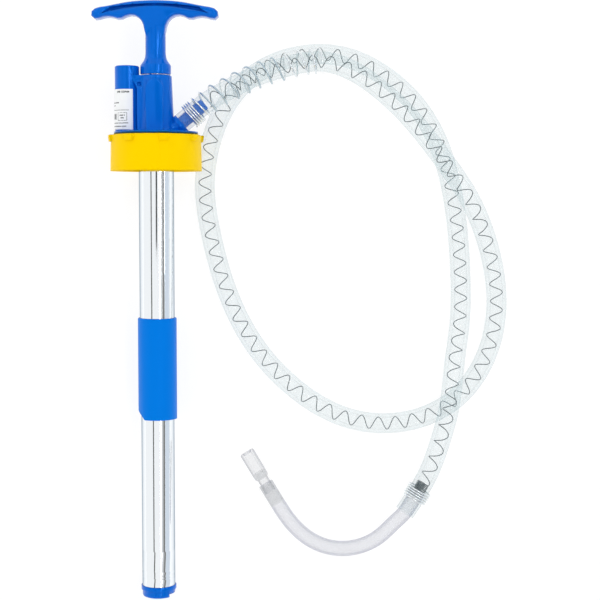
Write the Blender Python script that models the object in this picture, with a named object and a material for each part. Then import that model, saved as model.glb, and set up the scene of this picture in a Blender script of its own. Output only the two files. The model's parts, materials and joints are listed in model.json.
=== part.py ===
"""Hand-operated drum pump with a clear delivery hose, lying on its side.

The pump is drawn upright along its own axis, with the foot at height 0 and the
T-handle at the top.  The empty pump_axis then lays it down, so that it rests on
the flange of its foot and on the rim of its drum cap.  On the pump, -Y is the
face that looks up once it lies down, +X carries the hose spout and -X carries
the holder for the nozzle.  The hose is drawn where it lies on the table.
Sizes are in millimetres and become metres where the meshes are made.
"""

import math

import bmesh
import bpy
import numpy as np
from mathutils import Matrix, Vector

MM = 0.001
TURN = 2.0 * math.pi
GAP = 0.3                       # clearance left between two pieces that touch

ROUND_STEPS = 36                # facets round a large turned piece
SMALL_STEPS = 20                # facets round a small one

# Heights along the pump axis
OVERALL = 559.2
FOOT_END = 3.4
FOOT_FLANGE_LOW = 10.5
FOOT_FLANGE_HIGH = 14.3
VALVE_SEAT = 17.0
FOOT_SEAL_LOW = 26.0
FOOT_SPIGOT_TOP = 39.0
CRIMP_HEIGHTS = (21.5, 24.0, 28.7, 48.1)   # shallow rings pressed into the suction tube
SUCTION_TOP = 236.0
SLEEVE_LOW = 172.2
SLEEVE_SEAL_LOW = 181.0
SLEEVE_SHOULDER = 187.5
SLEEVE_HIGH = 266.7
PISTON_LOW = 286.0
PISTON_HIGH = 302.0
ROD_SHOULDER = 308.9
CAP_LOW = 403.0
CAP_PLATE = 432.9
CAP_HIGH = 436.4
NECK_LOW = 418.0
BARREL_TOP = 430.0
SOCKET_TOP = 432.1
FLANGE_LOW = 436.8
FLANGE_HIGH = 440.6
CAVITY_TOP = 470.5
BUSH_POCKET_TOP = 486.9
TOWER_TOP = 491.1
COLLAR_LOW = 491.8
HOLDER_TOP = 499.7
PIN_HEIGHT = 509.0
ROD_TOP = 520.0
STEM_TOP = 548.0

# Radii
FOOT_SKIRT_R = 15.4
FOOT_FLANGE_R = 16.5
SUCTION_R = 15.45
SUCTION_BORE_R = 14.95
BARREL_R = 16.25
BARREL_BORE_R = 15.75
SLEEVE_R = 18.1
PISTON_R = 15.4
ROD_R = 6.0
STUD_R = 4.0
CAP_RIM_R = 42.3
CAP_TOP_R = 41.7
NECK_R = 22.5
FLANGE_R = 38.9
TOWER_LOW_R = 17.0
TOWER_HIGH_R = 14.8
CAVITY_R = 14.6
COLLAR_R = 14.2
STEM_R = 9.4
BALL_R = 8.0

# Nozzle holder beside the tower
HOLDER_X = -26.5
HOLDER_R = 11.4
HOLDER_BORE_R = 8.6
HOLDER_FLOOR = 446.0
LABEL_LOW = 442.2
LABEL_HEIGHT = 35.6

# Hose spout: where the hose is cut off, and the angle it leaves at
SPOUT_ANGLE = math.radians(40.0)
SPOUT_END = Vector((24.3, 0.0, 447.8))
SPOUT_R = 8.6
BARB_LENGTH = 27.0
BARB_R = 6.0
SPOUT_BORE_R = 4.4

# Drum cap lugs
LUG_COUNT = 8
LUG_PHASE = math.radians(-30.0)
LUG_REACH_R = 44.3
LUG_WIDTH = 8.8
LUG_HEIGHT = 6.4

# T-handle bar
BAR_DEPTH = 20.0
GROOVE_DEPTH = 6.5
GROOVE_REACH = 50.0

# Hose and what is on it
HOSE_R = 9.5
CUFF_BORE_R = 7.1
NOZZLE_CUFF_BORE_R = 7.7
NOZZLE_R = 7.1
NOZZLE_BORE_R = 5.5
NOZZLE_GRIP = 24.4              # length of nozzle pushed into the hose
GUARD_REACH = 150.0             # length of hose inside the kink guard
GUARD_RINGS = 14                # rings of the hose inside the guard
HOSE_RINGS = 62                 # and along the rest of it
END_STEP = 1.2                  # length of the first and last step of a tube
GUARD_COIL_R = 11.6
GUARD_WIRE_R = 0.95
CLAMP_COIL_R = 11.2
CLAMP_WIRE_R = 0.6
CLAMP_TURNS = 7
CLAMP_PITCH = 1.65
CLAMP_START = 26.5              # from the nozzle end of the hose
COIL_STEPS = 10                # straight pieces in one turn of a coil

# Turn number of the kink guard, and how far along the hose that turn stands
GUARD_TURNS = ((0, 8.2), (4, 17.8), (5, 23.5), (6, 30.9), (13, 123.0), (14, 134.0),
               (15, 141.0), (16, 144.6))

# Route of the hose: up from the spout, over its own far strand, round the loop,
# under the first strand, back over the loop in a low hump and on to the nozzle
HOSE_ROUTE = (
    (24.3, 166.3, 45.1),
    (34.6, 175.0, 45.7),
    (45.0, 183.6, 46.3),
    (68.0, 197.8, 42.5),
    (89.5, 209.8, 35.2),
    (120.3, 220.2, 32.0),
    (152.0, 225.3, 31.9),
    (180.0, 218.5, 26.9),
    (210.5, 198.8, 23.8),
    (239.0, 170.8, 25.2),
    (270.0, 130.3, 29.4),
    (292.8, 96.9, 24.6),
    (309.5, 60.8, 13.0),
    (320.0, 4.8, 9.5),
    (308.5, -54.7, 9.5),
    (277.0, -94.7, 9.5),
    (226.0, -114.2, 9.5),
    (173.5, -108.2, 9.5),
    (129.5, -82.7, 9.5),
    (91.0, -41.7, 9.5),
    (65.5, 6.8, 9.5),
    (49.0, 63.8, 9.5),
    (43.0, 106.8, 9.5),
    (49.5, 155.3, 9.5),
    (68.0, 194.3, 9.5),
    (96.0, 220.3, 9.5),
    (132.0, 233.8, 9.5),
    (172.0, 233.8, 9.5),
    (210.0, 217.3, 9.5),
    (246.5, 183.3, 9.5),
    (266.0, 147.8, 9.5),
    (279.0, 98.3, 9.5),
    (285.5, 30.8, 9.5),
    (284.5, -20.7, 13.0),
    (278.5, -58.2, 23.5),
    (273.5, -96.2, 29.7),
    (267.0, -125.2, 23.0),
    (254.0, -163.7, 14.3),
    (232.5, -199.2, 12.6),
)

# Route of the bent nozzle, from the end of the hose to its own end
NOZZLE_ROUTE = (
    (223.3, -208.5, 11.4),
    (207.4, -223.3, 9.6),
    (177.5, -234.2, 7.6),
    (148.1, -228.5, 7.2),
    (124.1, -208.7, 7.2),
    (111.4, -190.1, 7.2),
    (100.6, -172.5, 7.2),
)
NOZZLE_TIP_END = (82.4, -142.4, 7.2)

# Outline of the right half of the T-handle bar, from its crown to the stem
BAR_EDGE = (
    (0.0, 559.2),
    (26.0, 557.4),
    (48.0, 553.3),
    (56.0, 550.9),
    (58.5, 547.2),
    (57.3, 543.6),
    (54.3, 542.1),
    (49.5, 543.3),
    (41.5, 544.4),
    (35.0, 542.8),
    (32.5, 542.2),
    (30.0, 543.2),
    (21.9, 546.0),
    (15.0, 543.6),
    (11.0, 538.1),
    (9.7, 532.5),
    (8.2, 527.5),
    (6.0, 524.5),
)


# Side profile of the finger bar, which thins into the stem: half depth, height.
BAR_SIDE = (
    (10.0, 570.0),
    (10.0, 543.0),
    (9.3, 536.0),
    (8.2, 530.0),
    (5.5, 524.0),
)


# ---------------------------------------------------------------- materials

def make_finish(name, colour, roughness, metallic=0.0, alpha=1.0):
    """Return a Principled material."""
    finish = bpy.data.materials.new(name)
    finish.use_nodes = True
    shader = finish.node_tree.nodes["Principled BSDF"]
    shader.inputs["Base Color"].default_value = (*colour, 1.0)
    shader.inputs["Roughness"].default_value = roughness
    shader.inputs["Metallic"].default_value = metallic
    shader.inputs["Alpha"].default_value = alpha
    return finish


def make_finishes():
    """Return every finish of the pump by name."""
    return {
        "blue": make_finish("blue_plastic", (0.01, 0.13, 0.66), 0.25),
        "yellow": make_finish("yellow_plastic", (1.0, 0.60, 0.0), 0.35),
        "chrome": make_finish("chromed_steel", (0.80, 0.82, 0.84), 0.12, 1.0),
        "zinc": make_finish("zinc_plated_steel", (0.55, 0.56, 0.58), 0.35, 1.0),
        "wire": make_finish("spring_wire", (0.45, 0.46, 0.47), 0.30, 1.0),
        "clear": make_finish("clear_pvc", (0.85, 0.93, 0.92), 0.15, 0.0, 0.4),
        "rubber": make_finish("black_rubber", (0.02, 0.02, 0.02), 0.70),
        "white": make_finish("white_acetal", (0.80, 0.80, 0.78), 0.45),
        "label": make_finish("paper_label", (0.85, 0.86, 0.86), 0.50),
    }


# ------------------------------------------------------------ mesh helpers

def metres(points):
    """Return points given in millimetres as vectors in metres."""
    return [Vector(point) * MM for point in points]


def add_object(name, data, finish, parent=None):
    """Link data to the scene as an object with one finish and a parent."""
    item = bpy.data.objects.new(name, data)
    bpy.context.scene.collection.objects.link(item)
    data.materials.append(finish)
    item.parent = parent
    return item


def mesh_from(name, work):
    """Turn a bmesh into a smooth-shaded mesh whose faces point outwards."""
    bmesh.ops.remove_doubles(work, verts=work.verts, dist=1e-6)
    bmesh.ops.recalc_face_normals(work, faces=work.faces)
    mesh = bpy.data.meshes.new(name)
    work.to_mesh(mesh)
    work.free()
    mesh.shade_smooth()
    mesh.set_sharp_from_angle(angle=math.radians(35.0))
    return mesh


def turned(name, profile, finish, parent, steps=ROUND_STEPS):
    """Spin a profile of (radius, height) round the vertical axis.

    A profile that starts and ends on the axis is left open there; any other
    profile is closed, which makes a ring.
    """
    work = bmesh.new()
    corners = [work.verts.new((radius * MM, 0.0, height * MM)) for radius, height in profile]
    edges = [work.edges.new(pair) for pair in zip(corners, corners[1:])]
    if profile[0][0] > 0.0:
        edges.append(work.edges.new((corners[-1], corners[0])))
    bmesh.ops.spin(work, geom=corners + edges, cent=(0.0, 0.0, 0.0), axis=(0.0, 0.0, 1.0),
                   angle=TURN, steps=steps, use_merge=True)
    return add_object(name, mesh_from(name, work), finish, parent)


def ring(name, inner, outer, low, high, finish, parent, steps=SMALL_STEPS):
    """A plain ring between two radii and two heights."""
    profile = ((inner, low), (outer, low), (outer, high), (inner, high))
    return turned(name, profile, finish, parent, steps)


def rod(name, radius, start, end, finish, parent, steps=SMALL_STEPS):
    """A straight round bar from one point to another."""
    start, end = Vector(start), Vector(end)
    length = (end - start).length
    profile = ((0.0, 0.0), (radius, 0.0), (radius, length), (0.0, length))
    bar = turned(name, profile, finish, parent, steps)
    bar.location = start * MM
    bar.rotation_euler = (end - start).to_track_quat("Z", "Y").to_euler()
    return bar


def prism(name, outline, back, front, finish, parent):
    """Extrude an outline of (x, z) along Y from back to front."""
    work = bmesh.new()
    corners = [work.verts.new((x * MM, back * MM, z * MM)) for x, z in outline]
    face = work.faces.new(corners)
    grown = bmesh.ops.extrude_face_region(work, geom=[face])
    moved = [part for part in grown["geom"] if isinstance(part, bmesh.types.BMVert)]
    bmesh.ops.translate(work, verts=moved, vec=(0.0, (front - back) * MM, 0.0))
    return add_object(name, mesh_from(name, work), finish, parent)


def block(name, low, high, finish, parent):
    """A box between two corners."""
    outline = ((low[0], low[2]), (high[0], low[2]), (high[0], high[2]), (low[0], high[2]))
    return prism(name, outline, low[1], high[1], finish, parent)


def combine(item, helpers, operation):
    """Join helpers to an item, or cut them out of it, with Boolean modifiers."""
    for helper in helpers:
        helper.hide_render = True
        helper.display_type = "WIRE"
        step = item.modifiers.new(helper.name, "BOOLEAN")
        step.operation = operation
        step.object = helper


def smooth_curve(points, count):
    """Read count evenly spaced points off a natural cubic spline.

    The spline runs through the given points with the distance between them as
    its parameter; its second derivatives come from the usual linear system.
    Returns the points and the length of the curve.
    """
    points = np.array(points, dtype=float)
    knots = np.append(0.0, np.cumsum(np.linalg.norm(np.diff(points, axis=0), axis=1)))
    span = np.diff(knots)
    size = len(points)
    system = np.eye(size)
    right = np.zeros((size, 3))
    for index in range(1, size - 1):
        before, after = span[index - 1], span[index]
        system[index, index - 1:index + 2] = (before, 2.0 * (before + after), after)
        right[index] = 6.0 * ((points[index + 1] - points[index]) / after
                              - (points[index] - points[index - 1]) / before)
    bend = np.linalg.solve(system, right)
    place = np.linspace(0.0, knots[-1], 40 * size)
    part = np.clip(np.searchsorted(knots, place, side="right") - 1, 0, size - 2)
    width = span[part][:, None]
    ahead = (place - knots[part])[:, None]
    left = width - ahead
    fine = (bend[part] * left ** 3 + bend[part + 1] * ahead ** 3) / (6.0 * width)
    fine += (points[part] / width - bend[part] * width / 6.0) * left
    fine += (points[part + 1] / width - bend[part + 1] * width / 6.0) * ahead
    return even_points(fine, count)


def even_points(line, count):
    """Return count evenly spaced points along a line of points, and its length."""
    travel = np.append(0.0, np.cumsum(np.linalg.norm(np.diff(line, axis=0), axis=1)))
    wanted = np.linspace(0.0, travel[-1], count)
    return np.stack([np.interp(wanted, travel, line[:, axis]) for axis in range(3)], 1), travel[-1]


def tube_places(*stops):
    """Return distances for the rings of a tube from (distance, rings) stops.

    A short first and last step keep the two ends of the tube square to its line.
    """
    first, last = stops[0][0], stops[-1][0]
    places = [first, first + END_STEP]
    for (low, rings), (high, _) in zip(stops, stops[1:]):
        places.extend(np.linspace(low, high, rings + 1)[1:])
    return places[:-1] + [last - END_STEP, last]


def points_at(line, wanted):
    """Return the points of a line at the wanted distances from its start."""
    travel = np.append(0.0, np.cumsum(np.linalg.norm(np.diff(line, axis=0), axis=1)))
    return np.stack([np.interp(wanted, travel, line[:, axis]) for axis in range(3)], 1)


def frames_along(line):
    """Return two unit vectors square to a line at each of its points.

    The pair is carried from point to point with the least twist.
    """
    heading = np.gradient(line, axis=0)
    heading /= np.linalg.norm(heading, axis=1)[:, None]
    side = np.cross(heading[0], (0.0, 0.0, 1.0))
    sides = []
    for direction in heading:
        side = side - direction * np.dot(side, direction)
        side = side / np.linalg.norm(side)
        sides.append(side)
    sides = np.array(sides)
    return sides, np.cross(heading, sides)


def wire(name, line, radius, resolution, finish):
    """A solid round wire or tube along a line, as a curve with filled caps."""
    curve = bpy.data.curves.new(name, "CURVE")
    curve.dimensions = "3D"
    curve.bevel_depth = radius * MM
    curve.bevel_resolution = resolution
    curve.use_fill_caps = True
    spline = curve.splines.new("POLY")
    spline.points.add(len(line) - 1)
    for point, place in zip(spline.points, line):
        point.co = (*(place * MM), 1.0)
    return add_object(name, curve, finish)


def hollow_tube(name, line, outer, inner, finish, steps=16):
    """A tube with an open bore along a line."""
    sides, ups = frames_along(line)
    work = bmesh.new()
    angles = np.arange(steps) * TURN / steps
    rings = []
    for radius in (outer, inner):
        rows = []
        for centre, side, up in zip(line, sides, ups):
            spots = centre + radius * (np.outer(np.cos(angles), side) + np.outer(np.sin(angles), up))
            rows.append([work.verts.new(spot * MM) for spot in spots])
        rings.append(rows)
    outside, inside = rings
    sections = outside + inside[::-1] + outside[:1]
    for first, second in zip(sections, sections[1:]):
        for index in range(steps):
            after = (index + 1) % steps
            work.faces.new((first[index], first[after], second[after], second[index]))
    return add_object(name, mesh_from(name, work), finish)


def coil_line(line, places, radius, steps_per_turn):
    """A right-handed coil round a line, from (turn, distance along) pairs."""
    turns, distances = zip(*places)
    turn = np.linspace(turns[0], turns[-1], int((turns[-1] - turns[0]) * steps_per_turn) + 1)
    travel = np.append(0.0, np.cumsum(np.linalg.norm(np.diff(line, axis=0), axis=1)))
    where = np.interp(turn, turns, distances)
    sides, ups = frames_along(line)
    centre, side, up = (np.stack([np.interp(where, travel, values[:, axis]) for axis in range(3)], 1)
                        for values in (line, sides, ups))
    angle = (turn * TURN)[:, None]
    return centre + radius * (np.cos(angle) * side + np.sin(angle) * up)


# -------------------------------------------------------------- pump pieces

def pump_axis_empty():
    """The empty that lays the pump down on its foot flange and cap rim."""
    rise = CAP_RIM_R - FOOT_FLANGE_R
    run = CAP_LOW - FOOT_FLANGE_LOW
    tilt = math.atan2(rise, run)
    foot_height = FOOT_FLANGE_R * math.cos(tilt) - FOOT_FLANGE_LOW * math.sin(tilt)
    overhang = (BAR_DEPTH / 2.0 - FOOT_SKIRT_R) * math.sin(tilt)
    middle = ((OVERALL + FOOT_END) * math.cos(tilt) + overhang) / 2.0
    empty = bpy.data.objects.new("pump_axis", None)
    bpy.context.scene.collection.objects.link(empty)
    empty.location = Vector((0.0, -middle, foot_height)) * MM
    empty.rotation_euler = (tilt - math.pi / 2.0, 0.0, 0.0)
    return empty


def spout_point(distance):
    """A point on the spout's centreline, measured from the cut end of the hose."""
    heading = Vector((math.cos(SPOUT_ANGLE), 0.0, math.sin(SPOUT_ANGLE)))
    return SPOUT_END + heading * distance


def build_head(finishes, axis):
    """The moulded pump head: tower, flange, neck, spout and nozzle holder."""
    blue = finishes["blue"]
    head = turned("pump_head", (
        (0.0, NECK_LOW), (NECK_R, NECK_LOW), (NECK_R, 429.9), (21.3, 430.0), (21.3, 432.4),
        (NECK_R, 432.5), (NECK_R, FLANGE_LOW), (FLANGE_R, FLANGE_LOW), (FLANGE_R, 439.2),
        (30.0, 440.2), (18.6, FLANGE_HIGH), (TOWER_LOW_R, 442.0), (TOWER_HIGH_R, 490.0),
        (TOWER_HIGH_R - 1.0, TOWER_TOP), (0.0, TOWER_TOP)), blue, axis)
    holder = turned("holder_column", (
        (0.0, 438.0), (HOLDER_R, 438.0), (HOLDER_R, HOLDER_TOP - 1.0),
        (HOLDER_R - 1.0, HOLDER_TOP), (0.0, HOLDER_TOP)), blue, axis, SMALL_STEPS)
    holder.location.x = HOLDER_X * MM
    web = block("holder_web", (HOLDER_X + 2.0, -4.0, 439.0), (-5.0, 4.0, 489.6), blue, axis)
    bridge = prism("holder_bridge", (
        (-24.0, 490.7), (-6.0, 490.7), (-6.0, 478.6), (-17.0, 478.6), (-17.6, 481.5),
        (-19.6, 485.2), (-24.0, 488.2)), -10.3, 10.3, blue, axis)
    rib = rod("tower_rib", 3.7, (-13.4, -7.8, 439.0), (-13.4, -7.8, 479.5), blue, axis, 16)
    arch = [(7.85 * math.cos(angle), 479.5 + 7.85 * math.sin(angle))
            for angle in np.linspace(0.0, math.pi, 9)]
    panel = prism("front_panel", [(7.85, 439.0)] + arch + [(-7.85, 439.0)], -17.9, -4.0, blue, axis)
    lean = math.atan2(TOWER_LOW_R - TOWER_HIGH_R, 490.0 - 442.0)
    foot_of_lean = Vector((0.0, -17.9, 440.0)) * MM
    turn = Matrix.Rotation(-lean, 4, "X")
    panel.matrix_local = Matrix.Translation(foot_of_lean) @ turn @ Matrix.Translation(-foot_of_lean)
    spout = rod("spout_root", SPOUT_R, spout_point(-21.0), spout_point(-2.0), blue, axis)
    collar = rod("spout_collar", 9.4, spout_point(-4.5), spout_point(-GAP), blue, axis)
    barb = turned("spout_barb", (
        (0.0, -3.0), (BARB_R, -3.0), (BARB_R, 8.0), (6.3, 9.0), (BARB_R, 14.0), (6.3, 15.0),
        (BARB_R, 20.0), (6.3, 21.0), (5.4, BARB_LENGTH), (0.0, BARB_LENGTH)), blue, axis, SMALL_STEPS)
    barb.location = SPOUT_END * MM
    barb.rotation_euler = (0.0, math.pi / 2.0 - SPOUT_ANGLE, 0.0)
    combine(head, (holder, web, bridge, rib, panel, spout, collar, barb), "UNION")
    cavity = turned("head_cavity", (
        (0.0, NECK_LOW - 1.0), (BARREL_R + GAP, NECK_LOW - 1.0), (BARREL_R + GAP, SOCKET_TOP),
        (CAVITY_R, SOCKET_TOP), (CAVITY_R - 4.0, 460.0), (9.8, CAVITY_TOP),
        (9.8, BUSH_POCKET_TOP), (6.8, BUSH_POCKET_TOP), (6.8, TOWER_TOP + 1.0),
        (0.0, TOWER_TOP + 1.0)), blue, axis)
    pocket = rod("holder_bore", HOLDER_BORE_R, (HOLDER_X, 0.0, HOLDER_FLOOR),
                 (HOLDER_X, 0.0, HOLDER_TOP + 1.0), blue, axis)
    duct = rod("spout_bore", SPOUT_BORE_R, spout_point(-20.0), spout_point(BARB_LENGTH + 1.0),
               blue, axis, 12)
    recess = rod("bridge_recess", 2.0, (-14.2, -12.5, 482.7), (-14.2, -8.0, 482.7), blue, axis, 12)
    room = ring("cap_plate_room", NECK_R + 0.4, 34.0, 424.0, FLANGE_LOW - 0.05, blue, axis)
    combine(head, (duct, cavity, pocket, recess, room), "DIFFERENCE")
    return head


def build_label(finishes, axis):
    """The paper label wrapped round the outer side of the nozzle holder."""
    inner, outer = HOLDER_R + GAP, HOLDER_R + GAP + 0.35
    angles = np.radians(np.linspace(110.0, 302.0, 17))
    arc = [(outer * math.cos(angle), outer * math.sin(angle)) for angle in angles]
    arc += [(inner * math.cos(angle), inner * math.sin(angle)) for angle in angles[::-1]]
    work = bmesh.new()
    face = work.faces.new([work.verts.new((x * MM, y * MM, LABEL_LOW * MM)) for x, y in arc])
    grown = bmesh.ops.extrude_face_region(work, geom=[face])
    moved = [part for part in grown["geom"] if isinstance(part, bmesh.types.BMVert)]
    bmesh.ops.translate(work, verts=moved, vec=(0.0, 0.0, LABEL_HEIGHT * MM))
    label = add_object("side_label", mesh_from("side_label", work), finishes["label"], axis)
    label.location.x = HOLDER_X * MM
    return label


def build_head_internals(finishes, axis):
    """Guide bush, seals and rings that the head holds."""
    ring("rod_guide_bush", ROD_R + 0.12, 9.5, 478.2, 486.6, finishes["white"], axis)
    ring("gland_seal", ROD_R + 0.15, 9.5, 474.4, 477.9, finishes["rubber"], axis)
    ring("gland_retainer", ROD_R + 0.4, 9.5, 472.6, 474.1, finishes["zinc"], axis)
    ring("barrel_seal", 14.9, 16.2, BARREL_TOP + GAP, SOCKET_TOP - GAP, finishes["rubber"], axis, 28)
    ring("cap_retaining_ring", 21.65, 27.5, 430.4, 432.0, finishes["zinc"], axis, 28)
    ring("drum_gasket", 29.0, 36.9, 429.6, CAP_PLATE - GAP, finishes["rubber"], axis, 28)


def build_cap(finishes, axis):
    """The drum cap: an inward plate, a threaded skirt and eight grip lugs."""
    yellow = finishes["yellow"]
    profile = [(23.2, CAP_HIGH), (40.6, CAP_HIGH), (CAP_TOP_R, CAP_HIGH - 1.0),
               (CAP_RIM_R, CAP_LOW + 1.2), (CAP_RIM_R, CAP_LOW), (38.9, CAP_LOW), (38.0, CAP_LOW + 0.8)]
    for crest in (407.5, 412.5, 417.5):
        profile += [(38.0, crest - 1.3), (36.3, crest), (38.0, crest + 1.3)]
    profile += [(38.0, CAP_PLATE), (23.2, CAP_PLATE)]
    cap = turned("drum_cap", profile, yellow, axis)
    lugs = []
    half = LUG_WIDTH / 2.0
    for number in range(LUG_COUNT):
        outline = ((40.5, CAP_HIGH - LUG_HEIGHT), (LUG_REACH_R - 0.8, CAP_HIGH - LUG_HEIGHT),
                   (LUG_REACH_R, CAP_HIGH - 0.9), (LUG_REACH_R - 0.8, CAP_HIGH - 0.2),
                   (40.0, CAP_HIGH - 0.2))
        lug = prism(f"cap_lug_{number}", outline, -half, half, yellow, axis)
        lug.rotation_euler.z = LUG_PHASE + number * TURN / LUG_COUNT
        lugs.append(lug)
    combine(cap, lugs, "UNION")
    return cap


def build_tubes(finishes, axis):
    """Barrel, telescopic suction tube and the sleeve that joins them."""
    ring("barrel_tube", BARREL_BORE_R, BARREL_R, SLEEVE_SHOULDER + GAP, BARREL_TOP,
         finishes["chrome"], axis, ROUND_STEPS)
    wall = [(SUCTION_BORE_R, FOOT_FLANGE_HIGH + GAP), (SUCTION_R, FOOT_FLANGE_HIGH + GAP)]
    for height in CRIMP_HEIGHTS:
        wall += [(SUCTION_R, height - 0.5), (SUCTION_R - 0.25, height), (SUCTION_R, height + 0.5)]
    wall += [(SUCTION_R, SUCTION_TOP), (SUCTION_BORE_R, SUCTION_TOP)]
    turned("suction_tube", wall, finishes["chrome"], axis)
    tube_bore = SUCTION_R + GAP
    barrel_bore = BARREL_R + GAP
    groove = 17.1
    seal_high = SLEEVE_SEAL_LOW + 3.2
    sleeve = turned("tube_sleeve", (
        (tube_bore, SLEEVE_LOW), (SLEEVE_R, SLEEVE_LOW), (SLEEVE_R, SLEEVE_HIGH - 0.6),
        (SLEEVE_R - 0.6, SLEEVE_HIGH), (barrel_bore, SLEEVE_HIGH), (barrel_bore, SLEEVE_SHOULDER),
        (tube_bore, SLEEVE_SHOULDER), (tube_bore, seal_high), (groove, seal_high),
        (groove, SLEEVE_SEAL_LOW), (tube_bore, SLEEVE_SEAL_LOW)), finishes["blue"], axis)
    corner = prism("sleeve_corner_cut", (
        (-SLEEVE_R - 2.0, SLEEVE_LOW - 2.0), (-9.2, SLEEVE_LOW - 2.0),
        (-SLEEVE_R - 2.0, SLEEVE_LOW + 10.8)), -25.0, 25.0, finishes["blue"], axis)
    combine(sleeve, (corner,), "DIFFERENCE")
    ring("sleeve_seal", SUCTION_R + 0.15, groove - GAP, SLEEVE_SEAL_LOW + GAP, seal_high - GAP,
         finishes["rubber"], axis, 28)


def build_foot(finishes, axis):
    """Foot valve: body with its seat, ball, stop pin and seal."""
    spigot = SUCTION_BORE_R - GAP
    foot = turned("foot_valve_body", (
        (FOOT_SKIRT_R - 2.5, FOOT_END), (FOOT_SKIRT_R - 0.7, FOOT_END + 0.8),
        (FOOT_SKIRT_R, FOOT_END + 2.6), (FOOT_SKIRT_R, FOOT_FLANGE_LOW),
        (FOOT_FLANGE_R, FOOT_FLANGE_LOW), (FOOT_FLANGE_R, FOOT_FLANGE_HIGH),
        (spigot, FOOT_FLANGE_HIGH), (spigot, FOOT_SEAL_LOW), (12.8, FOOT_SEAL_LOW),
        (12.8, FOOT_SEAL_LOW + 2.6), (spigot, FOOT_SEAL_LOW + 2.6),
        (spigot, FOOT_SPIGOT_TOP), (11.4, FOOT_SPIGOT_TOP), (11.4, VALVE_SEAT + 4.0),
        (7.6, VALVE_SEAT + 1.3), (6.0, VALVE_SEAT), (6.0, 11.6), (11.5, 10.0),
        (11.5, FOOT_END)),
        finishes["blue"], axis, 28)
    inlet = block("inlet_notch", (10.6, -20.0, FOOT_END - 1.0), (20.0, 20.0, 7.2), finishes["blue"], axis)
    pin_height = VALVE_SEAT + 19.4
    pin_hole = rod("stop_pin_hole", 1.5, (-18.0, 0.0, pin_height), (18.0, 0.0, pin_height),
                   finishes["blue"], axis, 12)
    combine(foot, (inlet, pin_hole), "DIFFERENCE")
    rod("foot_stop_pin", 1.2, (-14.3, 0.0, pin_height), (14.3, 0.0, pin_height),
        finishes["zinc"], axis, 12)
    centre = VALVE_SEAT + 6.1
    arc = [(BALL_R * math.sin(angle), centre - BALL_R * math.cos(angle))
           for angle in np.linspace(0.0, math.pi, 9)]
    arc[0] = (0.0, centre - BALL_R)
    arc[-1] = (0.0, centre + BALL_R)
    turned("foot_valve_ball", arc, finishes["white"], axis, 20)
    seal = [(13.85 + 0.72 * math.cos(angle), FOOT_SEAL_LOW + 1.3 + 0.72 * math.sin(angle))
            for angle in np.arange(6) * TURN / 6]
    turned("foot_seal", seal, finishes["rubber"], axis, 28)


def build_piston(finishes, axis):
    """Piston, its seal, valve disc and fixings on the end of the rod."""
    bore = STUD_R + GAP
    piston = turned("piston_body", (
        (bore, PISTON_LOW), (PISTON_R, PISTON_LOW), (PISTON_R, 290.7), (12.2, 290.7),
        (12.2, 297.3), (PISTON_R, 297.3), (PISTON_R, PISTON_HIGH), (bore, PISTON_HIGH)),
        finishes["white"], axis, 28)
    ports = []
    for number in range(4):
        angle = (number + 0.3) * TURN / 4
        spot = (8.2 * math.cos(angle), 8.2 * math.sin(angle))
        ports.append(rod(f"piston_port_{number}", 1.9, (*spot, PISTON_LOW - 1.0),
                         (*spot, PISTON_HIGH + 1.0), finishes["white"], axis, 8))
    combine(piston, ports, "DIFFERENCE")
    turned("piston_cup_seal", ((12.6, 291.1), (15.6, 291.1), (15.6, 296.9), (14.4, 296.9),
                               (13.8, 293.4), (12.6, 293.4)), finishes["rubber"], axis, 28)
    ring("piston_valve_disc", STUD_R + GAP, 11.4, PISTON_HIGH + GAP, PISTON_HIGH + 1.8,
         finishes["rubber"], axis)
    ring("valve_stop_washer", bore, 10.4, 307.1, ROD_SHOULDER - GAP, finishes["zinc"], axis)
    ring("piston_nut", bore / math.cos(math.pi / 6), 8.1, 279.4, PISTON_LOW - GAP, finishes["zinc"], axis, 6)
    ring("rod_bumper", ROD_R + GAP, 11.0, ROD_SHOULDER + 0.4, ROD_SHOULDER + 7.4,
         finishes["rubber"], axis)
    piston_rod = turned("piston_rod", (
        (0.0, 278.4), (STUD_R - 0.6, 278.4), (STUD_R, 279.0), (STUD_R, ROD_SHOULDER),
        (ROD_R, ROD_SHOULDER), (ROD_R, ROD_TOP - 0.8), (ROD_R - 0.8, ROD_TOP), (0.0, ROD_TOP)),
        finishes["chrome"], axis, 24)
    pin_hole = rod("rod_pin_hole", 1.8, (-10.0, 0.0, PIN_HEIGHT), (10.0, 0.0, PIN_HEIGHT),
                   finishes["chrome"], axis, 12)
    combine(piston_rod, (pin_hole,), "DIFFERENCE")


def groove_outline():
    """Outline of the long curved groove in the face of the bar."""
    places = np.linspace(-GROOVE_REACH, GROOVE_REACH, 11)
    upper = [(x, 556.0 - x * x / 516.0) for x in places[1:-1]]
    lower = [(x, 553.6 - x * x / 348.0) for x in places]
    return upper + lower[::-1]


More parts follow.
